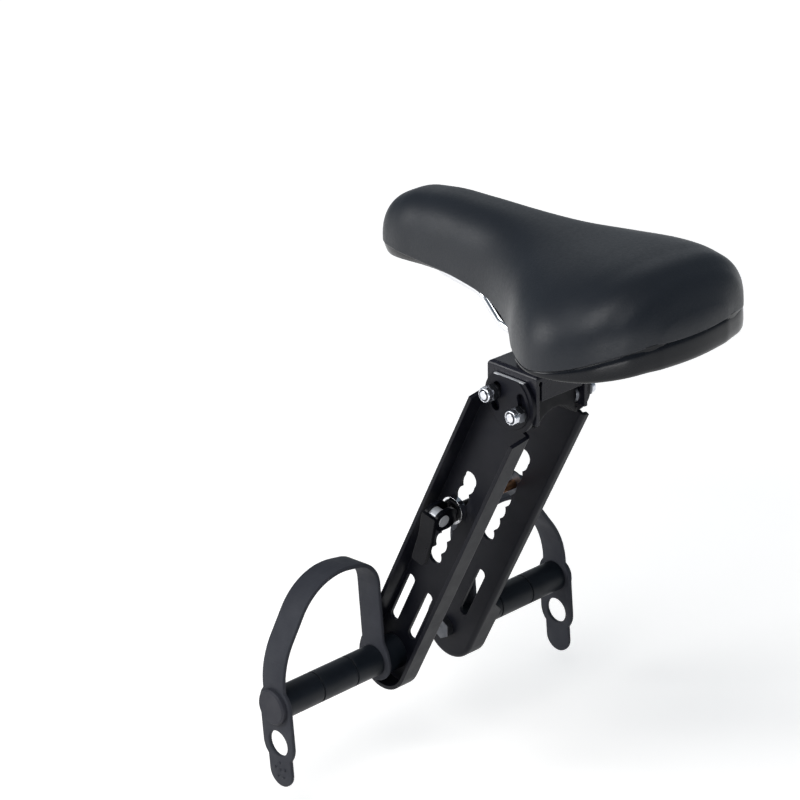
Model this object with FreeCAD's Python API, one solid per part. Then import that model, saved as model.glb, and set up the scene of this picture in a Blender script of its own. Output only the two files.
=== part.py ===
"""Child bike seat: a saddle on a top-tube bracket, two slotted arms, foot pegs and rubber straps.

Millimetres. X points to the rider's right, Y forward and Z up. The origin is on the top tube's axis,
at the middle of the bracket's length.
"""
import FreeCAD
import Part
import os
from math import cos, pi, radians, sin, sqrt, tan

V = FreeCAD.Vector
X_AXIS = V(1, 0, 0)
Y_AXIS = V(0, 1, 0)
Z_AXIS = V(0, 0, 1)
ORIGIN = V(0, 0, 0)

# Clearances
MOVE_GAP = 0.3              # between pieces that move against each other
SEAT_GAP = 0.1              # radial, between pieces that are fastened together
RAIL_GAP = 0.1              # radial, between the saddle rail and its clamp

# Top tube and the rubber pad on it
TUBE_R = 20.0
PAD_WRAP = 56.0             # half of the angle that the arch covers, degrees
PAD_CROWN = 25.0            # rubber between the tube and the bracket's plate
PAD_LENGTH = 32.0
PAD_SIDE_GAP = 0.9          # beside the bolt heads
PAD_LIP_GAP = 0.9           # beside the bracket's walls
PAD_LIP_HEIGHT = 3.6
PAD_POCKET_GAP = 1.0        # round the clamp's nut

# Folded bracket
SHEET = 2.5
BRACKET_LENGTH = 41.0
BRACKET_WIDTH = 44.0
BRACKET_BEND = 3.0
WALL_DROP = 32.0
FLANGE_DROP = 17.0
FLANGE_HALF_WIDTH = 17.4
RELIEF_R = 1.6

# Arm pivot: two bolts in arc slots, turning about a centre between them
PIVOT_Y = 0.0
PIVOT_DROP = 21.2           # below the bracket's top face
BOLT_CIRCLE_R = 11.8
BOLT_LINE_TILT = 20.0       # front bolt higher, degrees
BOLT_D = 6.0
BOLT_TAIL = 2.2
BOLT_HEAD_D = 12.0
BOLT_HEAD_T = 2.4
NUT_FLATS = 10.0
NUT_HEX_T = 4.4
NUT_COLLAR_D = 8.8
NUT_COLLAR_T = 1.8
WASHER_D = 10.0
WASHER_T = 1.2

# Arms: folded channels, open outwards
ARM_TILT = 27.0             # from the vertical, foot end forward, degrees
ARM_SWING_FORWARD = 45.0
ARM_SWING_BACK = 20.0
ARC_SLOT_SPARE = 1.0        # slot beyond the swing at each end, degrees
ARM_FRONT = 19.5            # pivot to the front flange's outer face, across the arm
ARM_REAR = 23.4             # pivot to the rear flange's outer face
ARM_DEPTH = 15.0
ARM_BEND = 3.0
HEAD_R = 20.5
HEAD_TOP_RISE = 15.4        # straight top edge above the pivot
HEAD_PAD_R = 17.4
HEAD_PAD_T = 0.6
FRONT_FLANGE_START = 5.0    # below the pivot
REAR_FLANGE_START = 9.5
FLANGE_BEVEL = 3.5
RIGHT_LIP_DEPTH = 6.0       # the right arm's rear flange is only a low lip
RIGHT_LIP_END = 200.0       # below the pivot, where the lip rises to the full depth
SLOT_OFFSET = 2.0           # the slots' centre line, forward of the pivot
NOTCH_FIRST = 75.5          # first notch below the pivot
NOTCH_PITCH = 11.1
NOTCH_COUNT = 7
NOTCH_HALF_WIDTH = 5.75
NOTCH_LEAD = 4.0            # round top end above the first notch
TOOTH_DEPTH = 2.0
LONG_SLOT_TOP = 171.0
LONG_SLOT_BOTTOM = 214.0
LONG_SLOT_WIDTH = 7.0
LONG_SLOT_SPREAD = 9.0
PEG_DROP = 234.5            # peg below the pivot, along the arm

# Foot pegs
PEG_D = 21.0
PEG_NECK_D = 15.0
PEG_BASE_D = 24.0
PEG_BASE_LENGTH = 15.6
PEG_GRIP_LENGTH = 82.3
PEG_GROOVE_PITCH = 29.0
PEG_GROOVE_FIRST = 22.5
PEG_GROOVE_WIDTH = 1.4
PEG_GROOVE_DEPTH = 0.8
PEG_BOLT_D = 8.0
PEG_BOLT_FLATS = 13.0
PEG_BOLT_HEAD_T = 5.0
PEG_BOLT_DEPTH = 70.0
PEG_BOLT_END_GAP = 1.0
CAP_D = 24.0
CAP_T = 3.6
CAP_NECK_D = 12.0
CAP_STEM_D = 8.0
CAP_STEM_LENGTH = 14.0

# Rubber foot straps
STRAP_T = 2.8
STRAP_WIDTH = 20.0
STRAP_END_R = 14.4
STRAP_LEAN = 4.1            # top forward, degrees
STRAP_SIDE_HEIGHT = 71.5    # corner over the arm side, above the peg
STRAP_SHOULDER_OUT = 49.5   # corner on the slope, outwards from the arm side
STRAP_SHOULDER_HEIGHT = 80.0
STRAP_OUTER_HEIGHT = 29.0   # corner over the cap
STRAP_RADII = (18.5, 43.0, 54.0)
SPARE_HOLE_DROP = 26.5
SPARE_HOLE_D = 17.5
TAB_R = 10.5
TAB_DROP = 46.5

# Cross rod with a quick-release cam
ROD_D = 6.0
ROD_NOTCH = 2               # notch that the rod sits in, counted from 0
CUP_D = 18.0
CUP_T = 4.0
CUP_DISH = 1.6
CUP_RIM = 1.5
CAM_R = 7.2
CAM_LOBE = 4.6              # lobe's centre from the pin, towards the cup
CAM_CHEEK_T = 2.5
CAM_GAP = 6.5               # between the cheeks
DRUM_D = 11.0
PIN_D = 8.0
PIN_PROUD = 0.4
LEVER_TURN = 15.0           # about the rod, from the arm's line towards the vertical, degrees
LEVER_T = 2.8
LEVER_RISE = 3.5            # handle's top edge above the pin
LEVER_STRAIGHT = 13.0
LEVER_LENGTH = 31.0
LEVER_TRIM = 1.0            # squares the handle's end
LEVER_FLARE = 3.5
LEVER_BEND_R = 18.0
LEVER_CORNER_R = 2.5
ROD_TAIL = 3.0

# Saddle rail and its clamp
RAIL_D = 7.0
RAIL_SPREAD = 19.0
RAIL_RISE = 23.5            # rail axis above the bracket's plate
RAIL_REAR_SPREAD = 27.0
RAIL_NOSE_SPREAD = 9.0
RAIL_REAR_RISE = 15.0       # rail ends above the straight run
RAIL_NOSE_RISE = 18.0       # nose loop above the straight run
RAIL_REAR_INSET = 31.1      # rail ends ahead of the saddle's rear
RAIL_REAR_BEND = 2.4        # rear bend's corner behind the straight run
RAIL_COVER_GAP = 0.2
RAIL_FRONT_SLOPE = 45.0
RAIL_RUN_SPARE = 3.4        # straight run beyond the clamp and its travel
RAIL_NOSE_Y = 74.0
RAIL_BEND_R = 16.0
RAIL_NOSE_R = 8.0
CLAMP_Y = -10.0
CLAMP_LENGTH = 28.0
CLAMP_JAW = 4.5             # metal beyond the rail's axis on each side
CLAMP_NOSE = 8.0            # jaws start this far behind the foot's front face
CLAMP_FOOT_HALF_WIDTH = 14.0
CLAMP_SPLIT = 1.0
CLAMP_CAP_T = 6.0
CLAMP_BOLT_Y = -6.0
CLAMP_BOLT_D = 8.0
CLAMP_BOLT_FLATS = 13.0
CLAMP_BOLT_HEAD_T = 4.0
CLAMP_NUT_T = 6.0
CLAMP_WASHER_D = 16.0
CLAMP_WASHER_T = 1.4
SADDLE_SLIDE_FORWARD = 14.0
SADDLE_SLIDE_BACK = 3.0

# Saddle
SADDLE_REAR_Y = -124.0
SADDLE_LENGTH = 248.5
SADDLE_HALF_WIDTH = 77.0
SADDLE_FLOOR_RISE = 10.5    # lowest wing edge above the rail axis
SADDLE_HEIGHT = 57.0
SADDLE_FULLNESS = 2.5       # exponent of the section's dome
DOME_STEPS = 12
PAN_WALL = 2.5
SOCKET_R = 7.0
SOCKET_LENGTH = 20.0
# Share of: length, half width, height at the crown, at the seam and at the lower edge
SADDLE_STATIONS = (
    (0.000, 0.36, 0.54, 0.34, 0.20),
    (0.018, 0.55, 0.71, 0.32, 0.08),
    (0.060, 0.76, 0.87, 0.25, 0.02),
    (0.145, 0.96, 0.94, 0.12, 0.00),
    (0.220, 1.00, 0.95, 0.05, 0.00),
    (0.320, 0.85, 0.95, 0.05, 0.01),
    (0.430, 0.56, 0.97, 0.09, 0.05),
    (0.540, 0.39, 0.99, 0.17, 0.12),
    (0.680, 0.33, 0.99, 0.25, 0.20),
    (0.820, 0.31, 0.96, 0.28, 0.20),
    (0.910, 0.29, 0.87, 0.30, 0.17),
    (0.965, 0.22, 0.71, 0.31, 0.17),
    (1.000, 0.10, 0.48, 0.34, 0.27),
)

# Worked-out places
PLATE_UNDER = TUBE_R + PAD_CROWN
PLATE_TOP = PLATE_UNDER + SHEET
WALL_IN = BRACKET_WIDTH / 2 - SHEET
WALL_OUT = BRACKET_WIDTH / 2
WEB_IN = WALL_OUT + MOVE_GAP
WEB_OUT = WEB_IN + SHEET
PIVOT = V(0, PIVOT_Y, PLATE_TOP - PIVOT_DROP)
PEG_CENTRE = PIVOT + V(0, PEG_DROP * sin(radians(ARM_TILT)), -PEG_DROP * cos(radians(ARM_TILT)))
STRAP_IN = WEB_OUT + PEG_BASE_LENGTH
GRIP_START = STRAP_IN + STRAP_T
GRIP_END = GRIP_START + PEG_GRIP_LENGTH
CAP_START = GRIP_END + STRAP_T
RAIL_Z = PLATE_TOP + RAIL_RISE
SADDLE_FLOOR = RAIL_Z + SADDLE_FLOOR_RISE
CLAMP_REAR = CLAMP_Y - CLAMP_LENGTH / 2
JAW_FRONT = CLAMP_REAR + CLAMP_LENGTH - CLAMP_NOSE
RAIL_RUN_REAR = CLAMP_REAR - SADDLE_SLIDE_FORWARD - RAIL_RUN_SPARE
RAIL_RUN_FRONT = JAW_FRONT + SADDLE_SLIDE_BACK + RAIL_RUN_SPARE
RAIL_REAR_BEND_Y = RAIL_RUN_REAR - RAIL_REAR_BEND
RAIL_FRONT_BEND_Y = RAIL_RUN_FRONT + RAIL_BEND_R * tan(radians(RAIL_FRONT_SLOPE) / 2)
RAIL_REAR_Y = SADDLE_REAR_Y + RAIL_REAR_INSET
RAIL_FRONT_TOP_Y = RAIL_FRONT_BEND_Y + RAIL_NOSE_RISE / tan(radians(RAIL_FRONT_SLOPE))
ROD_DROP = NOTCH_FIRST + ROD_NOTCH * NOTCH_PITCH
CAM_X = WEB_OUT + MOVE_GAP + CUP_T + MOVE_GAP + CAM_R + CAM_LOBE
LEVER_WIDTH = CAM_GAP + 2 * CAM_CHEEK_T


def box(x0, x1, y0, y1, z0, z1):
    return Part.makeBox(x1 - x0, y1 - y0, z1 - z0, V(x0, y0, z0))


def bar(start, axis, diameter, length):
    return Part.makeCylinder(diameter / 2, length, start, axis)


def tube(start, axis, outer, inner, length):
    return bar(start, axis, outer, length).cut(bar(start, axis, inner, length))


def hexagon(start, axis, flats, height):
    """Hexagonal prism along X or Z."""
    corner = flats / sqrt(3)
    across, up = (Y_AXIS, Z_AXIS) if axis == X_AXIS else (X_AXIS, Y_AXIS)
    turns = [radians(60 * k + 30) for k in range(7)]
    points = [start + across * (corner * cos(t)) + up * (corner * sin(t)) for t in turns]
    return Part.Face(Part.makePolygon(points)).extrude(axis * height)


def stadium(x0, x1, y, z_low, z_high, radius):
    """Plate along X whose outline in the YZ plane has round ends at z_low and z_high."""
    thickness = x1 - x0
    ends = [bar(V(x0, y, z), X_AXIS, 2 * radius, thickness) for z in (z_low, z_high)]
    return box(x0, x1, y - radius, y + radius, z_low, z_high).fuse(ends).removeSplitter()


def tangent_path(points, radii):
    """Straight runs through the points, joined by tangent arcs."""
    edges = []
    start = points[0]
    for before, corner, after, radius in zip(points, points[1:], points[2:], radii):
        back = (before - corner).normalize()
        ahead = (after - corner).normalize()
        half = back.getAngle(ahead) / 2
        middle = (back + ahead).normalize()
        centre = corner + middle * (radius / sin(half))
        arc_start = corner + back * (radius / tan(half))
        arc_end = corner + ahead * (radius / tan(half))
        edges.append(Part.LineSegment(start, arc_start).toShape())
        edges.append(Part.Arc(arc_start, centre - middle * radius, arc_end).toShape())
        start = arc_end
    edges.append(Part.LineSegment(start, points[-1]).toShape())
    return Part.Wire(edges)


def sweep(path, profile):
    return Part.Wire(path).makePipeShell([profile], True, False)


def mirrored(shape):
    return shape.mirror(ORIGIN, X_AXIS)


def on_arm(shape):
    """Move a shape from the arm's own frame, pivot at the origin and arm down -Z, to its place."""
    placed = shape.copy()
    placed.rotate(ORIGIN, X_AXIS, ARM_TILT)
    placed.translate(PIVOT)
    return placed


def bolt_places():
    tilt = radians(BOLT_LINE_TILT)
    reach = V(0, BOLT_CIRCLE_R * cos(tilt), BOLT_CIRCLE_R * sin(tilt))
    return (PIVOT + reach, PIVOT - reach)


# Bracket and what is fixed to it

def top_bracket():
    half = BRACKET_LENGTH / 2
    shell = box(-WALL_OUT, WALL_OUT, -half, half, PLATE_TOP - WALL_DROP, PLATE_TOP)
    folds = [e for e in shell.Edges if all(abs(v.Z - PLATE_TOP) < 1e-6 for v in e.Vertexes)]
    shell = shell.makeFillet(BRACKET_BEND, folds)
    inside = box(-WALL_IN, WALL_IN, SHEET - half, half - SHEET, PLATE_TOP - WALL_DROP, PLATE_UNDER)
    shell = shell.cut(inside)
    window = box(-WALL_IN, WALL_IN, -half, half, PLATE_TOP - WALL_DROP, PLATE_TOP - FLANGE_DROP)
    cuts = [window]
    for side in (-1, 1):
        near, far = sorted((side * FLANGE_HALF_WIDTH, side * WALL_IN))
        for y0 in (-half, half - SHEET):
            cuts.append(box(near, far, y0, y0 + SHEET, PLATE_TOP - WALL_DROP, PLATE_UNDER - BRACKET_BEND))
        relief_x = side * (FLANGE_HALF_WIDTH + WALL_IN) / 2
        relief = V(relief_x, -half, PLATE_UNDER - BRACKET_BEND)
        cuts.append(bar(relief, Y_AXIS, 2 * RELIEF_R, BRACKET_LENGTH))
    for place in bolt_places():
        cuts.append(bar(V(-WALL_OUT, place.y, place.z), X_AXIS, BOLT_D + 2 * SEAT_GAP, BRACKET_WIDTH))
    hole = V(0, CLAMP_BOLT_Y, PLATE_UNDER)
    cuts.append(bar(hole, Z_AXIS, CLAMP_BOLT_D + 2 * SEAT_GAP, SHEET))
    return shell.cut(cuts)


def tube_pad():
    """Rubber block whose arch sits on the tube, with a pocket for the clamp nut above."""
    y0 = -PAD_LENGTH / 2
    foot = TUBE_R * cos(radians(PAD_WRAP))
    half = WALL_IN - BOLT_HEAD_T - PAD_SIDE_GAP
    lip_half = WALL_IN - PAD_LIP_GAP
    block = box(-half, half, y0, -y0, foot, PLATE_UNDER)
    lip = box(-lip_half, lip_half, y0, -y0, foot, foot + PAD_LIP_HEIGHT)
    pad = block.fuse(lip).removeSplitter()
    pocket_depth = CLAMP_WASHER_T + CLAMP_NUT_T + BOLT_TAIL + PAD_POCKET_GAP
    pocket = bar(V(0, CLAMP_BOLT_Y, PLATE_UNDER - pocket_depth), Z_AXIS,
                 CLAMP_WASHER_D + 2 * PAD_POCKET_GAP, pocket_depth)
    return pad.cut([bar(V(0, y0, 0), Y_AXIS, 2 * TUBE_R, PAD_LENGTH), pocket])


def arm_bolts():
    """Four flat-headed bolts, heads inside the bracket's walls."""
    tip = WEB_OUT + HEAD_PAD_T + MOVE_GAP + WASHER_T + NUT_HEX_T + NUT_COLLAR_T + BOLT_TAIL
    bolts = []
    for place in bolt_places():
        head = bar(V(WALL_IN - BOLT_HEAD_T, place.y, place.z), X_AXIS, BOLT_HEAD_D, BOLT_HEAD_T)
        rim = [e for e in head.Edges if e.Length > pi and e.CenterOfMass.x < WALL_IN - BOLT_HEAD_T / 2]
        head = head.makeChamfer(BOLT_HEAD_T / 2, rim[:1])
        shank = bar(V(WALL_IN, place.y, place.z), X_AXIS, BOLT_D, tip - WALL_IN)
        bolts.append(head.fuse(shank).removeSplitter())
    return Part.makeCompound(bolts + [mirrored(b) for b in bolts])


def arm_washers():
    x0 = WEB_OUT + HEAD_PAD_T + MOVE_GAP
    bore = BOLT_D + 2 * SEAT_GAP
    rings = [tube(V(x0, p.y, p.z), X_AXIS, WASHER_D, bore, WASHER_T) for p in bolt_places()]
    return Part.makeCompound(rings + [mirrored(r) for r in rings])


def arm_nuts():
    """Lock nuts: a hexagon and a round collar."""
    x0 = WEB_OUT + HEAD_PAD_T + MOVE_GAP + WASHER_T
    nuts = []
    for p in bolt_places():
        start = V(x0, p.y, p.z)
        collar = bar(start, X_AXIS, NUT_COLLAR_D, NUT_HEX_T + NUT_COLLAR_T)
        bore = bar(start, X_AXIS, BOLT_D + 2 * SEAT_GAP, NUT_HEX_T + NUT_COLLAR_T)
        nuts.append(hexagon(start, X_AXIS, NUT_FLATS, NUT_HEX_T).fuse(collar).cut(bore))
    return Part.makeCompound(nuts + [mirrored(n) for n in nuts])


def rail_grooves():
    diameter = RAIL_D + 2 * RAIL_GAP
    starts = [V(side * RAIL_SPREAD, CLAMP_REAR, RAIL_Z) for side in (-1, 1)]
    return [bar(start, Y_AXIS, diameter, CLAMP_LENGTH) for start in starts]


def clamp_bore():
    return bar(V(0, CLAMP_BOLT_Y, PLATE_TOP), Z_AXIS, CLAMP_BOLT_D + 2 * SEAT_GAP, 2 * RAIL_RISE)


def clamp_plan():
    """Outline of both jaws seen from above: a foot, and wide jaws behind its front face."""
    front, rear = CLAMP_REAR + CLAMP_LENGTH, CLAMP_REAR
    foot, reach = CLAMP_FOOT_HALF_WIDTH, RAIL_SPREAD + CLAMP_JAW
    outline = [(-foot, front), (foot, front), (foot, JAW_FRONT), (reach, JAW_FRONT), (reach, rear),
               (-reach, rear), (-reach, JAW_FRONT), (-foot, JAW_FRONT)]
    corners = [V(x, y, PLATE_TOP) for x, y in outline]
    return Part.Face(Part.makePolygon(corners + corners[:1])).extrude(V(0, 0, 2 * RAIL_RISE))


def clamp_base():
    """Lower jaw: a foot on the plate that widens to a saddle rail groove on each side."""
    reach = RAIL_SPREAD + CLAMP_JAW
    top = RAIL_Z - CLAMP_SPLIT / 2
    shoulder = RAIL_Z - RAIL_D
    outline = [(-CLAMP_FOOT_HALF_WIDTH, PLATE_TOP), (CLAMP_FOOT_HALF_WIDTH, PLATE_TOP),
               (CLAMP_FOOT_HALF_WIDTH, shoulder - CLAMP_JAW), (reach, shoulder), (reach, top),
               (-reach, top), (-reach, shoulder), (-CLAMP_FOOT_HALF_WIDTH, shoulder - CLAMP_JAW)]
    corners = [V(x, CLAMP_REAR, z) for x, z in outline]
    block = Part.Face(Part.makePolygon(corners + corners[:1])).extrude(V(0, CLAMP_LENGTH, 0))
    return block.common(clamp_plan()).cut(rail_grooves() + [clamp_bore()])


def clamp_cap():
    reach = RAIL_SPREAD + CLAMP_JAW
    low = RAIL_Z + CLAMP_SPLIT / 2
    plate = box(-reach, reach, CLAMP_REAR, CLAMP_REAR + CLAMP_LENGTH, low, low + CLAMP_CAP_T)
    long_edges = [e for e in plate.Edges if abs(e.Length - CLAMP_LENGTH) < 1e-6]
    sides = [e for e in long_edges if e.CenterOfMass.z > low + CLAMP_CAP_T / 2]
    plate = plate.makeFillet(CLAMP_JAW / 2, sides)
    return plate.common(clamp_plan()).cut(rail_grooves() + [clamp_bore()])


def clamp_bolt():
    seat = RAIL_Z + CLAMP_SPLIT / 2 + CLAMP_CAP_T
    tip = PLATE_UNDER - CLAMP_WASHER_T - CLAMP_NUT_T - BOLT_TAIL
    shank = bar(V(0, CLAMP_BOLT_Y, tip), Z_AXIS, CLAMP_BOLT_D, seat - tip)
    return hexagon(V(0, CLAMP_BOLT_Y, seat), Z_AXIS, CLAMP_BOLT_FLATS, CLAMP_BOLT_HEAD_T).fuse(shank)


def clamp_washer():
    start = V(0, CLAMP_BOLT_Y, PLATE_UNDER - CLAMP_WASHER_T)
    return tube(start, Z_AXIS, CLAMP_WASHER_D, CLAMP_BOLT_D + 2 * SEAT_GAP, CLAMP_WASHER_T)


def clamp_nut():
    start = V(0, CLAMP_BOLT_Y, PLATE_UNDER - CLAMP_WASHER_T - CLAMP_NUT_T)
    bore = bar(start, Z_AXIS, CLAMP_BOLT_D + 2 * SEAT_GAP, CLAMP_NUT_T)
    return hexagon(start, Z_AXIS, CLAMP_BOLT_FLATS, CLAMP_NUT_T).cut(bore)


# Arms, pegs and straps, drawn for the right side

def arc_slot(first, last):
    """Slot along the bolt circle between two angles from +Y, as a cutter along X."""
    half = BOLT_D / 2 + MOVE_GAP

    def at(radius, angle):
        return V(0, radius * cos(radians(angle)), radius * sin(radians(angle)))

    def end_tip(angle, way):
        t = radians(angle)
        return at(BOLT_CIRCLE_R, angle) + V(0, -sin(t), cos(t)) * (half * way)

    inner, outer, mid = BOLT_CIRCLE_R - half, BOLT_CIRCLE_R + half, (first + last) / 2
    edges = [Part.Arc(at(outer, first), at(outer, mid), at(outer, last)),
             Part.Arc(at(outer, last), end_tip(last, 1), at(inner, last)),
             Part.Arc(at(inner, last), at(inner, mid), at(inner, first)),
             Part.Arc(at(inner, first), end_tip(first, -1), at(outer, first))]
    face = Part.Face(Part.Wire([e.toShape() for e in edges]))
    return face.extrude(V(BRACKET_WIDTH, 0, 0))


def toothed_slot():
    """Slot with round ends and a row of shallow notches along both sides, as cutters along X."""
    drops = [NOTCH_FIRST + k * NOTCH_PITCH for k in range(NOTCH_COUNT)]
    radius = (NOTCH_PITCH ** 2 / 4 + TOOTH_DEPTH ** 2) / (2 * TOOTH_DEPTH)
    shift = radius - NOTCH_HALF_WIDTH
    waist = NOTCH_HALF_WIDTH - TOOTH_DEPTH

    def across(side, drop, size):
        return bar(V(0, SLOT_OFFSET + side, -drop), X_AXIS, 2 * size, BRACKET_WIDTH)

    top = NOTCH_FIRST - NOTCH_LEAD
    ends = [across(0, top, NOTCH_HALF_WIDTH), across(0, drops[-1], NOTCH_HALF_WIDTH)]
    notches = [across(shift, d, radius).common(across(-shift, d, radius)) for d in drops[:-1]]
    core = box(0, BRACKET_WIDTH, SLOT_OFFSET - waist, SLOT_OFFSET + waist, -drops[-1], -top)
    return ends + notches + [core]


def arm_cutters():
    """All openings of one arm: arc slots, toothed slot, long slots and the peg hole."""
    rest = BOLT_LINE_TILT - ARM_TILT
    first = rest - ARM_SWING_FORWARD - ARC_SLOT_SPARE
    last = rest + ARM_SWING_BACK + ARC_SLOT_SPARE
    cutters = [arc_slot(first, last), arc_slot(first + 180, last + 180)] + toothed_slot()
    end = LONG_SLOT_WIDTH / 2
    for y in (SLOT_OFFSET - LONG_SLOT_SPREAD, SLOT_OFFSET + LONG_SLOT_SPREAD):
        cutters.append(stadium(0, BRACKET_WIDTH, y, end - LONG_SLOT_BOTTOM, -LONG_SLOT_TOP - end, end))
    cutters.append(bar(V(0, 0, -PEG_DROP), X_AXIS, PEG_BOLT_D + 2 * SEAT_GAP, BRACKET_WIDTH))
    return cutters


def flange_cut(y0, y1, outline):
    """Cutter across the arm from y0 to y1, from an outline of X and drop below the pivot."""
    corners = [V(x, y0, -drop) for x, drop in outline]
    return Part.Face(Part.makePolygon(corners + corners[:1])).extrude(V(0, y1 - y0, 0))


def arm_channel():
    """Folded channel in the arm's frame: flat head, flanges down both edges and round the foot end."""
    rim = WEB_IN + ARM_DEPTH
    middle, half = (ARM_FRONT - ARM_REAR) / 2, (ARM_FRONT + ARM_REAR) / 2
    outer = box(WEB_IN, rim, -ARM_REAR, ARM_FRONT, -PEG_DROP, -FRONT_FLANGE_START)
    outer = outer.fuse(bar(V(WEB_IN, middle, -PEG_DROP), X_AXIS, 2 * half, ARM_DEPTH)).removeSplitter()
    back = [e for e in outer.Edges if all(abs(v.X - WEB_IN) < 1e-6 for v in e.Vertexes)]
    folds = [e for e in back if e.CenterOfMass.z < -FRONT_FLANGE_START - ARM_BEND]
    outer = outer.makeFillet(ARM_BEND, folds)
    trough = stadium(WEB_OUT, rim, middle, -PEG_DROP, 0, half - SHEET)
    face = WEB_OUT + HEAD_PAD_T
    cuts = [trough, box(WEB_IN, rim, -ARM_REAR, middle, -REAR_FLANGE_START, 0)]
    for y0, y1, start in ((middle, ARM_FRONT, FRONT_FLANGE_START), (-ARM_REAR, middle, REAR_FLANGE_START)):
        cuts.append(flange_cut(y0, y1, [(face, start), (rim, start + FLANGE_BEVEL), (rim, 0), (face, 0)]))
    head = bar(V(WEB_IN, 0, 0), X_AXIS, 2 * HEAD_R, SHEET)
    pressed = bar(V(WEB_OUT, 0, 0), X_AXIS, 2 * HEAD_PAD_R, HEAD_PAD_T)
    return outer.cut(cuts).fuse([head, pressed]).cut(arm_cutters()).removeSplitter()


def placed_arm(channel):
    """Arm in its place, with the head's top edge cut level."""
    arm = on_arm(channel)
    size = 2 * HEAD_R
    top = PIVOT.z + HEAD_TOP_RISE
    return arm.cut(box(0, BRACKET_WIDTH, PIVOT_Y - size, PIVOT_Y + size, top, top + size))


def low_lip(channel):
    """The same channel with its rear flange cut down to a low lip above the foot end."""
    low, rim = WEB_IN + RIGHT_LIP_DEPTH, WEB_IN + ARM_DEPTH
    outline = [(low, 0), (rim, 0), (rim, RIGHT_LIP_END), (low, RIGHT_LIP_END - rim + low)]
    return channel.cut(flange_cut(-ARM_REAR, SHEET - ARM_REAR, outline))


def at_peg(x):
    return V(x, PEG_CENTRE.y, PEG_CENTRE.z)


def right_peg():
    """Moulded peg: base on the arm, neck for the strap ring and a grip with two grooves."""
    base = bar(at_peg(WEB_OUT), X_AXIS, PEG_BASE_D, PEG_BASE_LENGTH)
    neck = bar(at_peg(STRAP_IN), X_AXIS, PEG_NECK_D, STRAP_T)
    grip = bar(at_peg(GRIP_START), X_AXIS, PEG_D, PEG_GRIP_LENGTH)
    cuts = []
    for k in range(2):
        x0 = GRIP_START + PEG_GROOVE_FIRST + k * PEG_GROOVE_PITCH - PEG_GROOVE_WIDTH / 2
        cuts.append(tube(at_peg(x0), X_AXIS, 2 * PEG_D, PEG_D - 2 * PEG_GROOVE_DEPTH, PEG_GROOVE_WIDTH))
    cuts.append(bar(at_peg(WEB_OUT), X_AXIS, PEG_BOLT_D + 2 * SEAT_GAP, PEG_BOLT_DEPTH))
    stem_depth = CAP_STEM_LENGTH + SEAT_GAP
    cuts.append(bar(at_peg(GRIP_END - stem_depth), X_AXIS, CAP_STEM_D + 2 * SEAT_GAP, stem_depth))
    return base.fuse([neck, grip]).cut(cuts)


def right_peg_bolt():
    head = hexagon(at_peg(WEB_IN - PEG_BOLT_HEAD_T), X_AXIS, PEG_BOLT_FLATS, PEG_BOLT_HEAD_T)
    shank = bar(at_peg(WEB_IN), X_AXIS, PEG_BOLT_D, SHEET + PEG_BOLT_DEPTH - PEG_BOLT_END_GAP)
    return head.fuse(shank)


def right_peg_cap():
    """Button that the strap's end is pulled over, with a stem in the peg."""
    stem = bar(at_peg(GRIP_END - CAP_STEM_LENGTH), X_AXIS, CAP_STEM_D, CAP_STEM_LENGTH)
    neck = bar(at_peg(GRIP_END), X_AXIS, CAP_NECK_D, STRAP_T)
    disc = bar(at_peg(CAP_START), X_AXIS, CAP_D, CAP_T)
    rim = [e for e in disc.Edges if e.Length > CAP_D and e.CenterOfMass.x > CAP_START + CAP_T / 2]
    disc = disc.makeChamfer(CAP_T / 3, rim[:1])
    return disc.fuse([stem, neck]).removeSplitter()


def right_strap():
    """One rubber moulding: ring on the peg's neck, arched band, button hole, spare hole and tab."""
    side_x = STRAP_IN + STRAP_T / 2
    outer_x = GRIP_END + STRAP_T / 2
    half = STRAP_WIDTH / 2
    corners = [V(side_x, 0, 0), V(side_x, 0, STRAP_SIDE_HEIGHT),
               V(side_x + STRAP_SHOULDER_OUT, 0, STRAP_SHOULDER_HEIGHT),
               V(outer_x, 0, STRAP_OUTER_HEIGHT), V(outer_x, 0, 0)]
    section = Part.makePolygon([V(side_x - STRAP_T / 2, -half, 0), V(side_x + STRAP_T / 2, -half, 0),
                                V(side_x + STRAP_T / 2, half, 0), V(side_x - STRAP_T / 2, half, 0),
                                V(side_x - STRAP_T / 2, -half, 0)])
    band = sweep(tangent_path(corners, STRAP_RADII), section)
    ring = bar(V(STRAP_IN, 0, 0), X_AXIS, 2 * STRAP_END_R, STRAP_T)
    end = stadium(GRIP_END, CAP_START, 0, -SPARE_HOLE_DROP, 0, STRAP_END_R)
    tab = stadium(GRIP_END, CAP_START, 0, -TAB_DROP, -SPARE_HOLE_DROP, TAB_R)
    holes = [bar(V(STRAP_IN, 0, 0), X_AXIS, PEG_NECK_D + 2 * SEAT_GAP, STRAP_T),
             bar(V(GRIP_END, 0, 0), X_AXIS, CAP_NECK_D + 2 * SEAT_GAP, STRAP_T),
             bar(V(GRIP_END, 0, -SPARE_HOLE_DROP), X_AXIS, SPARE_HOLE_D, STRAP_T)]
    strap = band.fuse([ring, end, tab]).removeSplitter().cut(holes)
    strap.rotate(ORIGIN, X_AXIS, -STRAP_LEAN)
    strap.translate(PEG_CENTRE)
    return strap


# Cross rod and quick release, drawn about the rod's axis with the lever on the left

def on_rod(shape, turn=0):
    """Move a shape from the rod's own frame, turned about the rod, to its place on the arms."""
    placed = shape.copy()
    placed.rotate(ORIGIN, X_AXIS, -turn)
    placed.translate(V(0, SLOT_OFFSET, -ROD_DROP))
    return on_arm(placed)


def cam_drum():
    return bar(V(-CAM_X, -CAM_GAP / 2, 0), Y_AXIS, DRUM_D, CAM_GAP)


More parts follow.
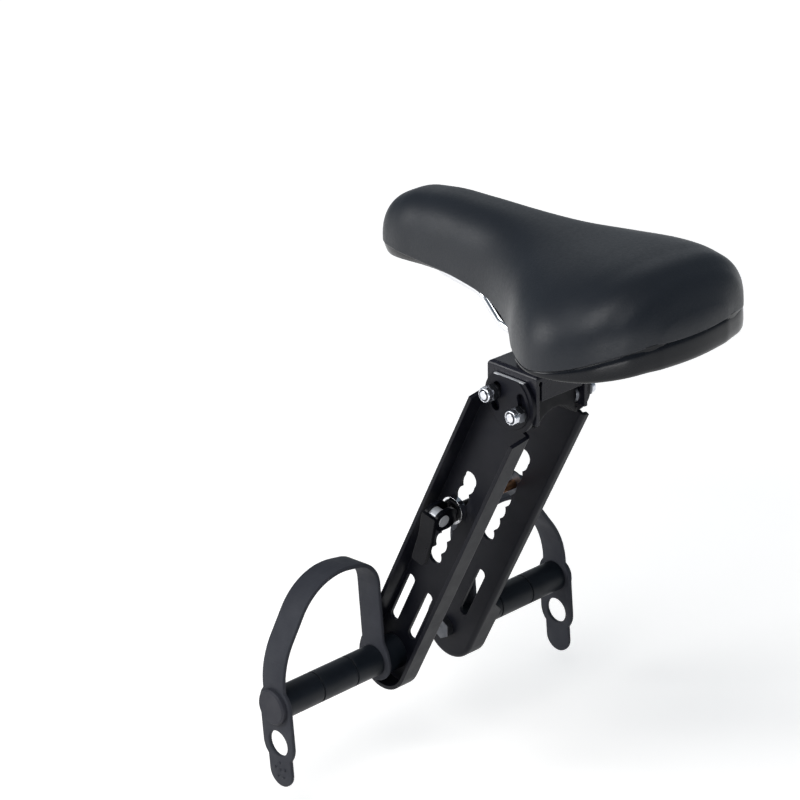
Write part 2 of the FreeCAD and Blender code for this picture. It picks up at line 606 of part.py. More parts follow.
def cross_rod():
    end = WEB_OUT + MOVE_GAP + WASHER_T + NUT_HEX_T + ROD_TAIL
    return on_rod(bar(V(-CAM_X, 0, 0), X_AXIS, ROD_D, CAM_X + end).cut(cam_drum()), LEVER_TURN)


def cam_barrel():
    """Drum that pulls the rod, on a pin through the lever's cheeks."""
    reach = LEVER_WIDTH / 2 + PIN_PROUD
    pin = bar(V(-CAM_X, -reach, 0), Y_AXIS, PIN_D, 2 * reach)
    return on_rod(cam_drum().fuse(pin), LEVER_TURN)


def cup_washer():
    """Cup under the cam, with a dished outer face."""
    outer = V(-WEB_OUT - MOVE_GAP - CUP_T, 0, 0)
    dish = bar(outer, X_AXIS, CUP_D - 2 * CUP_RIM, CUP_DISH)
    bore = bar(outer, X_AXIS, ROD_D + 2 * SEAT_GAP, CUP_T)
    return on_rod(bar(outer, X_AXIS, CUP_D, CUP_T).cut([dish, bore]))


def rod_washer():
    return on_rod(tube(V(WEB_OUT + MOVE_GAP, 0, 0), X_AXIS, CUP_D, ROD_D + 2 * SEAT_GAP, WASHER_T))


def rod_nut():
    start = V(WEB_OUT + MOVE_GAP + WASHER_T, 0, 0)
    bore = bar(start, X_AXIS, ROD_D + 2 * SEAT_GAP, NUT_HEX_T)
    return on_rod(hexagon(start, X_AXIS, NUT_FLATS, NUT_HEX_T).cut(bore))


def cam_cheek(y0):
    """Plate round the pin with a lobe towards the cup, so that swinging the lever frees the rod."""
    pin, lobe = V(-CAM_X, y0, 0), V(CAM_LOBE - CAM_X, y0, 0)
    ends = [bar(p, Y_AXIS, 2 * CAM_R, CAM_CHEEK_T) for p in (pin, lobe)]
    return box(pin.x, lobe.x, y0, y0 + CAM_CHEEK_T, -CAM_R, CAM_R).fuse(ends).removeSplitter()


def qr_lever():
    """Two cam cheeks on the pin and a flat handle outside the drum, flared at its end."""
    inner = -CAM_X - DRUM_D / 2 - MOVE_GAP
    skin = inner - LEVER_T / 2
    half = LEVER_WIDTH / 2
    path = tangent_path([V(skin, 0, LEVER_RISE), V(skin, 0, -LEVER_STRAIGHT),
                         V(skin - LEVER_FLARE, 0, -LEVER_LENGTH)], [LEVER_BEND_R])
    corners = [V(x, y, LEVER_RISE) for x, y in ((inner, -half), (inner, half), (inner - LEVER_T, half),
                                                (inner - LEVER_T, -half))]
    handle = sweep(path, Part.makePolygon(corners + corners[:1]))
    outline = box(inner - LEVER_T - LEVER_FLARE, inner, -half, half, LEVER_TRIM - LEVER_LENGTH, LEVER_RISE)
    tips = [e for e in outline.Edges if all(v.Z < 0 for v in e.Vertexes) and e.Length < LEVER_WIDTH]
    outline = outline.makeFillet(LEVER_CORNER_R, tips)
    cheeks = [cam_cheek(CAM_GAP / 2), cam_cheek(-half)]
    bore = bar(V(-CAM_X, -half, 0), Y_AXIS, PIN_D + 2 * RAIL_GAP, LEVER_WIDTH)
    return on_rod(handle.common(outline).fuse(cheeks).cut(bore).removeSplitter(), LEVER_TURN)


# Saddle

def saddle_rows(inset):
    """Stations in millimetres, drawn in by inset: place, half width, crown, seam and lower edge."""
    for place, width, crown, seam, low in SADDLE_STATIONS:
        yield (SADDLE_REAR_Y + place * SADDLE_LENGTH, width * SADDLE_HALF_WIDTH - inset,
               SADDLE_FLOOR + crown * SADDLE_HEIGHT, SADDLE_FLOOR + seam * SADDLE_HEIGHT,
               SADDLE_FLOOR + low * SADDLE_HEIGHT)


def dome_section(y, half, crown, seam, low):
    """Closed wire across the saddle: straight under, tucked in below the seam, domed above."""
    power = 2 / SADDLE_FULLNESS
    points = [V(half - PAN_WALL, y, low)]
    for k in range(DOME_STEPS + 1):
        t = pi * k / DOME_STEPS
        side = 1 if 2 * k < DOME_STEPS else -1
        reach = side * half * abs(cos(t)) ** power
        points.append(V(reach, y, seam + (crown - seam) * max(sin(t), 0) ** power))
    points.append(V(PAN_WALL - half, y, low))
    arch = Part.BSplineCurve()
    arch.interpolate(points)
    return Part.Wire([arch.toShape(), Part.LineSegment(points[-1], points[0]).toShape()])


def saddle_body():
    return Part.makeLoft([dome_section(*row) for row in saddle_rows(0)], True, False)


def below_seam():
    """Everything under the seam line, as a prism across the saddle."""
    rows = list(saddle_rows(0))
    reach = SADDLE_HALF_WIDTH + PAN_WALL
    seam = Part.BSplineCurve()
    seam.interpolate([V(-reach, y, z) for y, _, _, z, _ in rows])
    first, last = seam.StartPoint, seam.EndPoint
    floor = SADDLE_FLOOR - SADDLE_HEIGHT
    corners = [last, V(-reach, last.y, floor), V(-reach, first.y, floor), first]
    sides = [Part.LineSegment(a, b).toShape() for a, b in zip(corners, corners[1:])]
    return Part.Face(Part.Wire([seam.toShape()] + sides)).extrude(V(2 * reach, 0, 0))


def pan_hollow():
    """Space under the pan's roof, one wall in from the saddle's skirt."""
    wires = []
    for y, half, _, seam, _ in list(saddle_rows(PAN_WALL))[1:-1]:
        roof, floor, reach = seam - PAN_WALL, SADDLE_FLOOR - SADDLE_HEIGHT, half - PAN_WALL
        wires.append(Part.makePolygon([V(-reach, y, floor), V(reach, y, floor), V(reach, y, roof),
                                       V(-reach, y, roof), V(-reach, y, floor)]))
    return Part.makeLoft(wires, True, True)


def rail_points():
    """Corners of the rail's right half, from its rear end to the nose."""
    return [V(RAIL_REAR_SPREAD, RAIL_REAR_Y, RAIL_Z + RAIL_REAR_RISE),
            V(RAIL_SPREAD, RAIL_REAR_BEND_Y, RAIL_Z),
            V(RAIL_SPREAD, RAIL_FRONT_BEND_Y, RAIL_Z),
            V(RAIL_SPREAD, RAIL_FRONT_TOP_Y, RAIL_Z + RAIL_NOSE_RISE),
            V(RAIL_NOSE_SPREAD, RAIL_NOSE_Y, RAIL_Z + RAIL_NOSE_RISE)]


def saddle_rail(gap=0.0):
    """One bent rod, up both sides of the clamp and round inside the nose; a gap swells it to its room."""
    right = rail_points()
    left = [V(-p.x, p.y, p.z) for p in reversed(right)]
    bend = [RAIL_BEND_R] * 3
    path = tangent_path(right + left, bend + [RAIL_NOSE_R] * 2 + bend)
    start, ahead = right[0], (right[1] - right[0]).normalize()
    profile = Part.Wire([Part.Circle(start, ahead, RAIL_D / 2 + gap).toShape()])
    return sweep(path, profile)


def saddle_cover(body, lower):
    """Foam and skin above the seam, clear of the rail."""
    return body.cut([lower, saddle_rail(RAIL_COVER_GAP)])


def saddle_base(body, lower, rail):
    """Moulded pan under the cover, with sockets round the rail's ends and its nose loop."""
    pan = body.common(lower).cut(pan_hollow())
    right = rail_points()
    sockets = []
    for side in (-1, 1):
        end = V(side * right[0].x, right[0].y, right[0].z)
        run = V(side * right[1].x, right[1].y, right[1].z) - end
        back = end - run.normalize() * (SOCKET_R / 2)
        sockets.append(bar(back, run, 2 * SOCKET_R, SOCKET_LENGTH))
    nose = right[-1]
    sockets.append(box(-nose.x - SOCKET_R, nose.x + SOCKET_R, nose.y - SOCKET_LENGTH, nose.y + SOCKET_R,
                       nose.z - RAIL_D, nose.z + RAIL_D))
    inside = [s.common(body.common(lower)) for s in sockets]
    return pan.fuse(inside).removeSplitter().cut(rail)


def build():
    body, lower = saddle_body(), below_seam()
    rail = saddle_rail()
    channel, peg, strap = arm_channel(), right_peg(), right_strap()
    peg_bolt, cap = right_peg_bolt(), right_peg_cap()
    return {
        "top_bracket": top_bracket(), "tube_pad": tube_pad(),
        "arm_bolts": arm_bolts(), "arm_washers": arm_washers(), "arm_nuts": arm_nuts(),
        "clamp_base": clamp_base(), "clamp_cap": clamp_cap(), "clamp_bolt": clamp_bolt(),
        "clamp_washer": clamp_washer(), "clamp_nut": clamp_nut(),
        "right_arm": placed_arm(low_lip(channel)), "left_arm": mirrored(placed_arm(channel)),
        "right_peg": peg, "left_peg": mirrored(peg),
        "right_peg_bolt": peg_bolt, "left_peg_bolt": mirrored(peg_bolt),
        "right_peg_cap": cap, "left_peg_cap": mirrored(cap),
        "right_strap": strap, "left_strap": mirrored(strap),
        "cross_rod": cross_rod(), "cam_barrel": cam_barrel(), "cup_washer": cup_washer(),
        "rod_washer": rod_washer(), "rod_nut": rod_nut(), "qr_lever": qr_lever(),
        "saddle_rail": rail, "saddle_cover": saddle_cover(body, lower),
        "saddle_base": saddle_base(body, lower, rail),
    }


def main():
    os.makedirs("parts", exist_ok=True)
    for name, shape in build().items():
        shape.exportStep(f"parts/{name}.step")
        print(name, "solids", len(shape.Solids), "valid", shape.isValid(), "volume", round(shape.Volume))


main()
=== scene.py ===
"""Looks of the child bike seat: leatherette saddle, painted steel, rubber straps and bright fasteners."""

import math

import bmesh
import bpy
import numpy as np
from mathutils import Matrix, Vector


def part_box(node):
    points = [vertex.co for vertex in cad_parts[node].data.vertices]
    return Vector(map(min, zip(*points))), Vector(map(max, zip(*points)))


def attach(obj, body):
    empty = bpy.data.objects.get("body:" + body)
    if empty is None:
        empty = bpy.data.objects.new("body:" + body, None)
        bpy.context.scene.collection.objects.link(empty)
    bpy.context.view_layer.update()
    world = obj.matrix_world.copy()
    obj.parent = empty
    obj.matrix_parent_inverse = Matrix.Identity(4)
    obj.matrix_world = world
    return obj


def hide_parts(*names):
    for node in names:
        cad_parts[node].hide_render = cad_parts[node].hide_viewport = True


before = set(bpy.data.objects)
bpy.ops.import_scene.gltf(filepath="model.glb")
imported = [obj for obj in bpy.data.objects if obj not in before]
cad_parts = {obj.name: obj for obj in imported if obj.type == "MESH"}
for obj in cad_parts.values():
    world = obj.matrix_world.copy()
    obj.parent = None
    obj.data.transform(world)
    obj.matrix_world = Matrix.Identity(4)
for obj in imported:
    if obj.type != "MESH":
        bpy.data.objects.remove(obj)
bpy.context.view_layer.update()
scene = bpy.context.scene
MM = 0.001

# Camera, from the photograph's view: place and clip in metres, angles in degrees, lens in millimetres
CAMERA_PLACE = (-1.12104, -1.08852, 0.69978)
CAMERA_AZIMUTH = -42.793
CAMERA_ELEVATION = 23.484
CAMERA_ROLL = -1.253
CAMERA_LENS = 126.73
CAMERA_SENSOR = 36.0
CAMERA_CLIP = (0.05, 50.0)

# Places in the part's own frame, millimetres and degrees; a pair is forward and up
PIVOT = (0.0, 26.3)
BOLT_CIRCLE_R = 11.8
BOLT_LINE_TILT = 20.0
PEG_CENTRE = (106.461, -182.641)
ROD_CENTRE = (46.137, -59.843)


# Materials

NOISE_SPAN = (0.3, 0.7)
TONE_SPAN = (0.32, 0.68)
PATCH_SCALE = 2.3
EDGE_SAMPLES = 6


def material(name):
    """New material, with its node tree and its main shader."""
    mat = bpy.data.materials.new(name)
    mat.use_nodes = True
    return mat, mat.node_tree, mat.node_tree.nodes["Principled BSDF"]


def texture(tree, kind, scale, **settings):
    """Texture node fed by the piece's own coordinates; the scale is per metre."""
    coords = tree.nodes.new("ShaderNodeTexCoord")
    node = tree.nodes.new(kind)
    node.inputs["Scale"].default_value = scale
    for key, value in settings.items():
        node.inputs[key].default_value = value
    tree.links.new(coords.outputs["Object"], node.inputs["Vector"])
    return node


def two_tone(tree, source, tones, span):
    """Colour that goes from the first tone to the second as the source crosses the span."""
    node = tree.nodes.new("ShaderNodeValToRGB")
    for element, place, tone in zip(node.color_ramp.elements, span, tones):
        element.position = place
        element.color = (*tone, 1.0)
    tree.links.new(source, node.inputs["Fac"])
    return node.outputs["Color"]


def map_range(tree, source, span, goal=(0.0, 1.0)):
    """Value that goes along the goal as the source crosses the span."""
    node = tree.nodes.new("ShaderNodeMapRange")
    for key, value in zip(("From Min", "From Max", "To Min", "To Max"), (*span, *goal)):
        node.inputs[key].default_value = value
    tree.links.new(source, node.inputs["Value"])
    return node.outputs["Result"]


def calculate(tree, operation, first, second):
    """Result of a named operation on two values."""
    node = tree.nodes.new("ShaderNodeMath")
    node.operation = operation
    tree.links.new(first, node.inputs[0])
    tree.links.new(second, node.inputs[1])
    return node.outputs["Value"]


def bump(tree, height, depth, below=None):
    """Normal with a relief on it, over another normal if one is given; depth in millimetres."""
    node = tree.nodes.new("ShaderNodeBump")
    node.inputs["Strength"].default_value = 1.0
    node.inputs["Distance"].default_value = depth * MM
    tree.links.new(height, node.inputs["Height"])
    if below is not None:
        tree.links.new(below, node.inputs["Normal"])
    return node.outputs["Normal"]


def rounded(tree, radius):
    """Normal that rounds sharp edges; radius in millimetres."""
    node = tree.nodes.new("ShaderNodeBevel")
    node.samples = EDGE_SAMPLES
    node.inputs["Radius"].default_value = radius * MM
    return node.outputs["Normal"]


def finish(name, tones, rough, mottle, grain, depth, metallic=0.0, specular=0.5, edge=0.0):
    """Mottled colour and roughness with a fine grain.

    Mottle and grain are scales per metre; depth and edge are in millimetres.
    """
    mat, tree, shader = material(name)
    clouds = texture(tree, "ShaderNodeTexNoise", mottle, Detail=4.0)
    colour = two_tone(tree, clouds.outputs["Fac"], tones, TONE_SPAN)
    patches = texture(tree, "ShaderNodeTexNoise", mottle * PATCH_SCALE, Detail=5.0, Roughness=0.6)
    roughness = map_range(tree, patches.outputs["Fac"], NOISE_SPAN, rough)
    specks = texture(tree, "ShaderNodeTexNoise", grain, Detail=3.0)
    relief = bump(tree, specks.outputs["Fac"], depth, below=rounded(tree, edge) if edge else None)
    tree.links.new(colour, shader.inputs["Base Color"])
    tree.links.new(roughness, shader.inputs["Roughness"])
    tree.links.new(relief, shader.inputs["Normal"])
    shader.inputs["Metallic"].default_value = metallic
    shader.inputs["Specular IOR Level"].default_value = specular
    return mat


# Finishes by name; a slot's own finish has the slot's name
FINISHES = {
    "bracket_paint": dict(tones=((0.0085, 0.0088, 0.0140), (0.0130, 0.0134, 0.0200)), rough=(0.22, 0.30),
                          mottle=40.0, grain=1500.0, depth=0.012, specular=0.22, edge=0.6),
    "arm_paint": dict(tones=((0.0036, 0.0040, 0.0072), (0.0056, 0.0061, 0.0102)), rough=(0.38, 0.48),
                      mottle=35.0, grain=1800.0, depth=0.018, specular=0.14, edge=0.5),
    "pad_rubber": dict(tones=((0.0045, 0.0047, 0.0060), (0.0085, 0.0088, 0.0108)), rough=(0.58, 0.72),
                       mottle=60.0, grain=1300.0, depth=0.03, specular=0.2),
    "zinc": dict(tones=((0.60, 0.62, 0.67), (0.74, 0.75, 0.79)), rough=(0.20, 0.32),
                 mottle=260.0, grain=2400.0, depth=0.008, metallic=1.0, edge=0.25),
    "clamp_steel": dict(tones=((0.0050, 0.0052, 0.0070), (0.0090, 0.0093, 0.0120)), rough=(0.32, 0.44),
                        mottle=60.0, grain=1400.0, depth=0.02, specular=0.25, edge=0.5),
    "pan": dict(tones=((0.0040, 0.0048, 0.0070), (0.0065, 0.0076, 0.0105)), rough=(0.20, 0.28),
                mottle=30.0, grain=1600.0, depth=0.008, specular=0.22, edge=0.5),
    "rail_chrome": dict(tones=((0.66, 0.67, 0.70), (0.76, 0.77, 0.79)), rough=(0.08, 0.15),
                        mottle=90.0, grain=900.0, depth=0.004, metallic=1.0, edge=0.3),
    "peg_plastic": dict(tones=((0.0042, 0.0060, 0.0092), (0.0068, 0.0090, 0.0130)), rough=(0.38, 0.48),
                        mottle=50.0, grain=1500.0, depth=0.014, specular=0.22, edge=0.5),
    "strap_rubber": dict(tones=((0.0250, 0.0266, 0.0340), (0.0330, 0.0348, 0.0430)), rough=(0.60, 0.74),
                         mottle=45.0, grain=1100.0, depth=0.03, specular=0.22),
    "rod_brass": dict(tones=((0.36, 0.17, 0.085), (0.50, 0.26, 0.14)), rough=(0.28, 0.40),
                      mottle=200.0, grain=1600.0, depth=0.01, metallic=1.0),
    "lever_paint": dict(tones=((0.0022, 0.0024, 0.0038), (0.0042, 0.0045, 0.0064)), rough=(0.26, 0.36),
                        mottle=60.0, grain=1500.0, depth=0.012, specular=0.1, edge=0.6),
    "cap_plastic": dict(tones=((0.0215, 0.0222, 0.0295), (0.0290, 0.0298, 0.0375)), rough=(0.52, 0.64),
                        mottle=55.0, grain=1300.0, depth=0.02, specular=0.22, edge=0.4),
    "nut_insert": dict(tones=((0.010, 0.012, 0.020), (0.018, 0.020, 0.030)), rough=(0.40, 0.52),
                       mottle=300.0, grain=2200.0, depth=0.01),
    # Pale half-diffuse zinc: a painted reflection that keeps the drum bright where chrome would mirror
    # the dark arm
    "painted_reflection_zinc": dict(tones=((0.50, 0.51, 0.54), (0.62, 0.63, 0.65)), rough=(0.30, 0.42),
                       mottle=240.0, grain=2200.0, depth=0.01, metallic=0.5, edge=0.25),
    # Bright half-metal finish for the heads' top edges: a painted glint
    "painted_glint_edge": dict(tones=((0.62, 0.63, 0.66), (0.74, 0.75, 0.77)), rough=(0.28, 0.38),
                      mottle=240.0, grain=2200.0, depth=0.006, metallic=0.5),
    # Darkened copy of zinc: painted shade on fasteners that stand in shade
    "shaded_zinc": dict(tones=((0.070, 0.074, 0.085), (0.115, 0.120, 0.132)), rough=(0.34, 0.46),
                      mottle=220.0, grain=2200.0, depth=0.01, metallic=1.0, edge=0.25),
}

LEATHER_TONES = ((0.0084, 0.0106, 0.0150), (0.0112, 0.0138, 0.0188))
LEATHER_ROUGH = (0.40, 0.50)
LEATHER_SPECULAR = 0.32
LEATHER_SHEEN = 0.04
LEATHER_SHEEN_ROUGH = 0.4


def leatherette():
    """Fine pebbled cover: small cells with soft valleys, over broad tone changes."""
    mat, tree, shader = material("leatherette")
    clouds = texture(tree, "ShaderNodeTexNoise", scale=22.0, Detail=5.0)
    colour = two_tone(tree, clouds.outputs["Fac"], LEATHER_TONES, NOISE_SPAN)
    cells = texture(tree, "ShaderNodeTexVoronoi", scale=1150.0, Randomness=1.0)
    cells.feature = "SMOOTH_F1"
    creases = texture(tree, "ShaderNodeTexNoise", scale=420.0, Detail=6.0, Roughness=0.65)
    pores = texture(tree, "ShaderNodeTexNoise", scale=3200.0, Detail=2.0)
    relief = bump(tree, creases.outputs["Fac"], depth=0.05)
    relief = bump(tree, cells.outputs["Distance"], depth=0.045, below=relief)
    relief = bump(tree, pores.outputs["Fac"], depth=0.012, below=relief)
    roughness = map_range(tree, creases.outputs["Fac"], NOISE_SPAN, LEATHER_ROUGH)
    tree.links.new(colour, shader.inputs["Base Color"])
    tree.links.new(roughness, shader.inputs["Roughness"])
    tree.links.new(relief, shader.inputs["Normal"])
    shader.inputs["Specular IOR Level"].default_value = LEATHER_SPECULAR
    shader.inputs["Sheen Weight"].default_value = LEATHER_SHEEN
    shader.inputs["Sheen Roughness"].default_value = LEATHER_SHEEN_ROUGH
    return mat


# Painted shade on the rod's plating: from fully shaded to none, millimetres along X
SHADE_SPAN = (-8.0, 2.0)
SHADE_COLOUR = (0.020, 0.018, 0.018, 1.0)


def shade_rod(mat):
    """Paints shade on the copper-coloured plating, dark at the quick release's end."""
    tree = mat.node_tree
    base = tree.nodes["Principled BSDF"].inputs["Base Color"]
    plating = base.links[0].from_socket
    coords = tree.nodes.new("ShaderNodeTexCoord")
    split = tree.nodes.new("ShaderNodeSeparateXYZ")
    tree.links.new(coords.outputs["Object"], split.inputs["Vector"])
    mix = tree.nodes.new("ShaderNodeMixRGB")
    mix.inputs["Color1"].default_value = SHADE_COLOUR
    # Painted shade fades out from the quick release's end towards the middle
    whole = map_range(tree, split.outputs["X"], [place * MM for place in SHADE_SPAN])
    tree.links.new(whole, mix.inputs["Fac"])
    tree.links.new(plating, mix.inputs["Color2"])
    tree.links.new(mix.outputs["Color"], base)


MATERIALS = {name: finish(name, **settings) for name, settings in FINISHES.items()}
MATERIALS["cover"] = leatherette()
shade_rod(MATERIALS["rod_brass"])


# Mesh helpers

ROUND_POINTS = 64


def link(name, mesh, look, sharp):
    """New object in the scene in the named material, smooth up to the sharp angle in degrees."""
    mesh.materials.clear()
    mesh.materials.append(MATERIALS[look])
    mesh.shade_smooth()
    mesh.set_sharp_from_angle(angle=math.radians(sharp))
    obj = bpy.data.objects.new(name, mesh)
    scene.collection.objects.link(obj)
    return obj


def stand_for(obj, body, slot, *nodes):
    """The piece moves with the body and stands for the nodes, which it hides. The slot is not used."""
    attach(obj, body)
    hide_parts(*nodes)


def grid_mesh(name, rows, caps=True):
    """Mesh through rows of points in millimetres, each row a closed ring."""
    rows = np.asarray(rows, float)
    count, around = rows.shape[:2]
    faces = []
    for first in range(0, (count - 1) * around, around):
        for here in range(around):
            there = (here + 1) % around
            faces.append((first + here, first + there, first + around + there, first + around + here))
    if caps:
        faces.append(tuple(reversed(range(around))))
        faces.append(tuple(range((count - 1) * around, count * around)))
    mesh = bpy.data.meshes.new(name)
    mesh.from_pydata([tuple(point * MM) for point in rows.reshape(-1, 3)], [], faces)
    mesh.validate()
    bm = bmesh.new()
    bm.from_mesh(mesh)
    bmesh.ops.recalc_face_normals(bm, faces=bm.faces)
    bm.to_mesh(mesh)
    bm.free()
    return mesh


def turned(name, profile, centre, side):
    """Round piece about an axis along X, from (distance outwards, radius) pairs."""
    turns = np.linspace(0, 2 * math.pi, ROUND_POINTS, endpoint=False)
    rows = [[(side * x, centre[0] + radius * math.cos(turn), centre[1] + radius * math.sin(turn))
             for turn in turns] for x, radius in profile]
    return grid_mesh(name, rows, caps=False)


def joined(name, meshes):
    """One mesh from several."""
    bm = bmesh.new()
    for mesh in meshes:
        bm.from_mesh(mesh)
        bpy.data.meshes.remove(mesh)
    result = bpy.data.meshes.new(name)
    bm.to_mesh(result)
    bm.free()
    return result


# Saddle

# Share of: length, half width, height at the crown, at the seam and at the lower edge
SADDLE_STATIONS = np.array((
    (0.000, 0.36, 0.54, 0.34, 0.20),
    (0.018, 0.55, 0.71, 0.32, 0.08),
    (0.060, 0.76, 0.87, 0.25, 0.02),
    (0.145, 0.96, 0.94, 0.12, 0.00),
    (0.220, 1.00, 0.95, 0.05, 0.00),
    (0.320, 0.85, 0.95, 0.05, 0.01),
    (0.430, 0.56, 0.97, 0.09, 0.05),
    (0.540, 0.39, 0.99, 0.17, 0.12),
    (0.680, 0.33, 0.99, 0.25, 0.20),
    (0.820, 0.31, 0.96, 0.28, 0.20),
    (0.910, 0.29, 0.87, 0.30, 0.17),
    (0.965, 0.22, 0.71, 0.31, 0.17),
    (1.000, 0.10, 0.48, 0.34, 0.27),
))
SADDLE_REAR_Y = -124.0
SADDLE_LENGTH = 248.5
SADDLE_HALF_WIDTH = 77.0
SADDLE_FLOOR = 81.5
SADDLE_HEIGHT = 57.0
SADDLE_FULLNESS = 2.5
COVER_ROWS = 86
DOME_POINTS = 49
HEM_OUT = 0.7
# Rolled hem: how far outwards and upwards from the seam's edge
HEM_PROFILE = ((0.0, -0.5), (-0.35, -1.1), (-1.0, -1.5), (-1.8, -1.3), (-2.4, -0.6))
MOST_SLANT = 4.0
UNDER_INSET = 3.0
UNDER_RISE = 0.3
UNDER_SHARES = (-0.7, -0.35, 0.0, 0.35, 0.7)
END_BULGE = 2.5
END_SHARES = (0.9, 0.78, 0.64, 0.48, 0.32, 0.16, 0.05, 0.005)


def smooth_through(places, values, wanted):
    """Cubic through the values, with slopes from their neighbours."""
    slopes = np.gradient(values, places)
    i = np.clip(np.searchsorted(places, wanted, side="right") - 1, 0, len(places) - 2)
    span = places[i + 1] - places[i]
    t = (wanted - places[i]) / span
    return ((2 * t**3 - 3 * t**2 + 1) * values[i] + (t**3 - 2 * t**2 + t) * span * slopes[i]
            + (3 * t**2 - 2 * t**3) * values[i + 1] + (t**3 - t**2) * span * slopes[i + 1])


def saddle_rows(share):
    """Place, half width, crown, seam and lower edge at shares of the saddle's length, in millimetres."""
    places, columns = SADDLE_STATIONS[:, 0], SADDLE_STATIONS[:, 1:].T
    width, crown, seam, low = (smooth_through(places, column, share) for column in columns)
    return np.stack([SADDLE_REAR_Y + share * SADDLE_LENGTH, width * SADDLE_HALF_WIDTH,
                     SADDLE_FLOOR + crown * SADDLE_HEIGHT, SADDLE_FLOOR + seam * SADDLE_HEIGHT,
                     SADDLE_FLOOR + low * SADDLE_HEIGHT], axis=1)


def cover_ring(y, half, crown, seam, slant):
    """Ring of the cover: domed top, rolled hem and flat underside.

    The hem's roll widens where the outline slants.
    """
    power = 2 / SADDLE_FULLNESS
    turns = np.linspace(0, math.pi, DOME_POINTS)
    reach = np.sign(np.cos(turns)) * np.abs(np.cos(turns)) ** power * (half + HEM_OUT)
    rise = seam + (crown - seam) * np.sin(turns).clip(0) ** power
    right = [(half + HEM_OUT + out * slant, seam + up) for out, up in HEM_PROFILE]
    left = [(-x, z) for x, z in right]
    under = [(share * (half - UNDER_INSET), seam + UNDER_RISE) for share in UNDER_SHARES]
    points = list(zip(reach, rise)) + left + under + list(reversed(right))
    return np.array([(x, y, z) for x, z in points])


def end_rings(ring, seam, way):
    """Rings that close an end in a rounded cap, with the hem kept level."""
    hem = ring[:, 2] < seam
    rings = []
    for share in END_SHARES:
        moved = ring.copy()
        moved[:, 0] *= share
        moved[:, 1] += way * END_BULGE * (1 - share**2)
        moved[~hem, 2] = seam + (ring[~hem, 2] - seam) * share
        rings.append(moved)
    return rings


def saddle_cover():
    """Taut padded cover, one closed skin."""
    rows = saddle_rows(0.5 - 0.5 * np.cos(np.linspace(0, math.pi, COVER_ROWS)))
    slants = np.hypot(1, np.gradient(rows[:, 1], rows[:, 0])).clip(1, MOST_SLANT)
    rings = [cover_ring(*row[:4], slant) for row, slant in zip(rows, slants)]
    rear = end_rings(rings[0], rows[0, 3], -1)
    front = end_rings(rings[-1], rows[-1, 3], 1)
    mesh = grid_mesh("saddle_cover_skin", rear[::-1] + rings + front)
    cover = link("saddle_cover_skin", mesh, "cover", sharp=75.0)
    stand_for(cover, "saddle", "cover", "saddle_cover")


# Pan's skirt

# How far out of the seam line, and share of the drop to the lower edge
SKIRT_PROFILE = ((-0.6, 0.0), (0.1, 0.05), (0.5, 0.3), (0.6, 0.55), (0.3, 0.8), (-0.6, 0.94), (-1.8, 1.0),
                 (-2.5, 0.93), (-2.6, 0.5), (-2.4, 0.1))
SKIRT_END = 0.30
SKIRT_DROP = 0.2
SKIRT_LOW = 0.06
SKIRT_GAP = 1.1
SKIRT_SIDE_POINTS = 60
SKIRT_REAR_POINTS = 41
SKIRT_STEPS = 180
# Steps over which the outline and the heights are averaged
SKIRT_EASE = (3, 17)


def skirt_path():
    """Line round the saddle's rear from left to right: x, y, seam and lower edge at even steps."""
    side = saddle_rows(SKIRT_END * np.linspace(1, 0, SKIRT_SIDE_POINTS) ** 2)
    y, half, seam = side[:, 0], side[:, 1], side[:, 3]
    low = np.minimum(side[:, 4], SADDLE_FLOOR + SKIRT_LOW * SADDLE_HEIGHT)
    across = np.linspace(-1, 1, SKIRT_REAR_POINTS)[1:-1]
    rear = np.stack([half[-1] * across, y[-1] - END_BULGE * np.cos(across * math.pi / 2),
                     np.full_like(across, seam[-1]), np.full_like(across, low[-1])], axis=1)
    left = np.stack([-half, y, seam, low], axis=1)
    corners = np.concatenate([left, rear, (left * (-1, 1, 1, 1))[::-1]])
    distance = np.concatenate([[0], np.cumsum(np.hypot(*np.diff(corners[:, :2], axis=0).T))])
    even = np.linspace(0, distance[-1], SKIRT_STEPS)
    path = np.stack([np.interp(even, distance, column) for column in corners.T], axis=1)
    for columns, width in zip((slice(0, 2), slice(2, 4)), SKIRT_EASE):
        kernel = np.ones(width) / width
        margin = width // 2
        eased = [np.convolve(column, kernel, "valid") for column in path[:, columns].T]
        path[margin:-margin, columns] = np.stack(eased, axis=1)
    return path


def pan_skirt():
    """Rounded glossy skirt of the pan, under the hem round the saddle's rear."""
    path = skirt_path()
    way = np.gradient(path[:, :2], axis=0)
    way /= np.linalg.norm(way, axis=1, keepdims=True)
    rings = []
    for (x, y, seam, low), (along_x, along_y) in zip(path, way):
        drop = seam - low + SKIRT_DROP
        rings.append([(x + along_y * out, y - along_x * out, seam - SKIRT_GAP - share * drop)
                      for out, share in SKIRT_PROFILE])
    skirt = link("pan_skirt", grid_mesh("pan_skirt", rings), "pan", sharp=60.0)
    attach(skirt, "saddle")


# Straps

STRAP_IN = 40.4
STRAP_T = 2.8
STRAP_HALF_WIDTH = 10.0
STRAP_END_R = 14.4
STRAP_LEAN = 4.1
# Corners of the middle line, outwards and upwards from the peg, and the radii that round them
STRAP_CORNERS = ((0.0, 0.0), (0.0, 71.5), (49.5, 80.0), (85.1, 29.0), (85.1, 0.0))
STRAP_RADII = (18.5, 43.0, 54.0)
STRAP_ROUND = 0.7
ROUND_STEPS = 2
NECK_EASE = 5.0
NECK_LENGTH = 8.0
NECK_TRIM = 7.0
RING_HOLE_R = 7.6
BUTTON_HOLE_R = 6.1
SPARE_HOLE_R = 8.75
SPARE_HOLE_DROP = 26.5
HOLE_POINTS = 40
TAB_R = 10.5
TAB_DROP = 46.5
TAB_DOTS = ((0.0, 40.0), (-4.6, 44.0), (0.0, 45.0), (4.6, 44.0), (-2.6, 50.0), (2.6, 50.0))
DOT_R = 0.9
END_POINTS = 12
RIM_STEP = 1.0
BEND_STEP = 1.8
WELD_METRES = 2e-6


